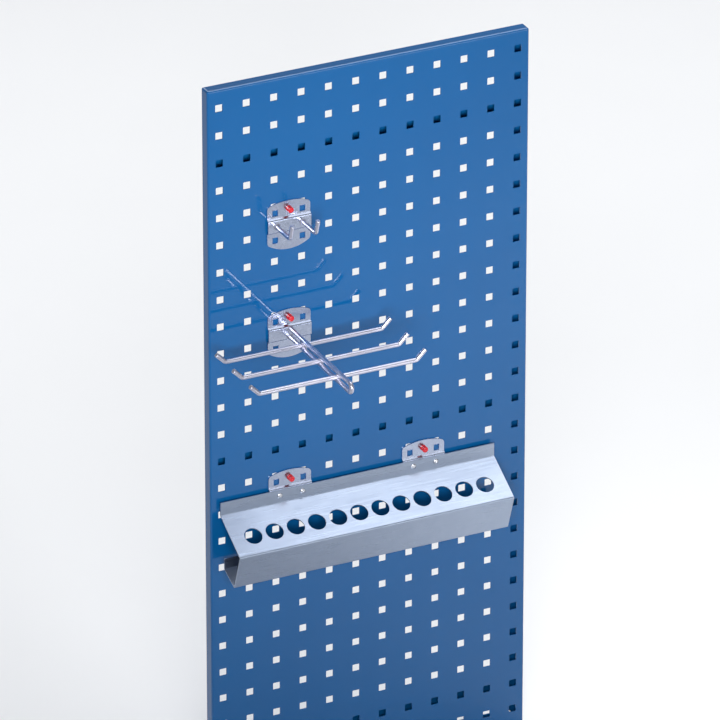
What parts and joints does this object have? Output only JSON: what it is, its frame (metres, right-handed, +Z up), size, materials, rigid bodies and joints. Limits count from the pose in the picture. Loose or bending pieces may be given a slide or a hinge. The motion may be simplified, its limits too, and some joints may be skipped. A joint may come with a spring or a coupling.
{
  "type": "pegboard tool wall",
  "caption": "Folded steel pegboard panel with square holes, carrying a double hook, a holder with cross rods and a slanted tool rail, each lifted off after its lock pin is pulled.",
  "frame": {"origin": "middle of the four wall screws, on the wall plane", "axes": "+Z up along the panel's height, +Y into the wall, so -Y points out to the user, +X to the right"},
  "size_m": [0.4627, 0.205, 1],
  "materials": {
    "panel_paint": "gloss",
    "zinc_sheet": "bright zinc",
    "zinc_wire": "bright zinc",
    "rail_sheet": "satin",
    "rivet_steel": "satin",
    "lock_plastic": "gloss"
  },
  "bodies": {
    "panel": {"panel": "panel_paint", "upper_stiffener": "panel_paint", "middle_stiffener": "panel_paint", "lower_stiffener": "panel_paint"},
    "hook_holder": {"hook_plate": "zinc_sheet", "left_hook": "zinc_wire", "right_hook": "zinc_wire"},
    "hook_lock": {"hook_lock_pin": "lock_plastic"},
    "arm_holder": {"arm_plate": "zinc_sheet", "arm_loop": "zinc_wire", "inner_cross_rod": "zinc_wire", "middle_cross_rod": "zinc_wire", "outer_cross_rod": "zinc_wire"},
    "arm_lock": {"arm_lock_pin": "lock_plastic"},
    "rail_holder": {"tool_rail": "rail_sheet", "left_rail_bracket": "zinc_sheet", "right_rail_bracket": "zinc_sheet", "left_rail_rivets": "rivet_steel", "right_rail_rivets": "rivet_steel"},
    "left_rail_lock": {"left_rail_lock_pin": "lock_plastic"},
    "right_rail_lock": {"right_rail_lock_pin": "lock_plastic"}
  },
  "joints": [
    {"name": "hook_holder_lift", "type": "slide", "parent": "panel", "child": "hook_holder", "axis": [0, 0, 1], "range_m": [0, 0.007]},
    {"name": "arm_holder_lift", "type": "slide", "parent": "panel", "child": "arm_holder", "axis": [0, 0, 1], "range_m": [0, 0.007]},
    {"name": "rail_lift", "type": "slide", "parent": "panel", "child": "rail_holder", "axis": [0, 0, 1], "range_m": [0, 0.007]},
    {"name": "hook_lock_pull", "type": "slide", "parent": "hook_holder", "child": "hook_lock", "axis": [0, -1, 0], "range_m": [0, 0.0018]},
    {"name": "arm_lock_pull", "type": "slide", "parent": "arm_holder", "child": "arm_lock", "axis": [0, -1, 0], "range_m": [0, 0.0018]},
    {"name": "left_rail_lock_pull", "type": "slide", "parent": "rail_holder", "child": "left_rail_lock", "axis": [0, -1, 0], "range_m": [0, 0.0018]},
    {"name": "right_rail_lock_pull", "type": "slide", "parent": "rail_holder", "child": "right_rail_lock", "axis": [0, -1, 0], "range_m": [0, 0.0018]}
  ]
}
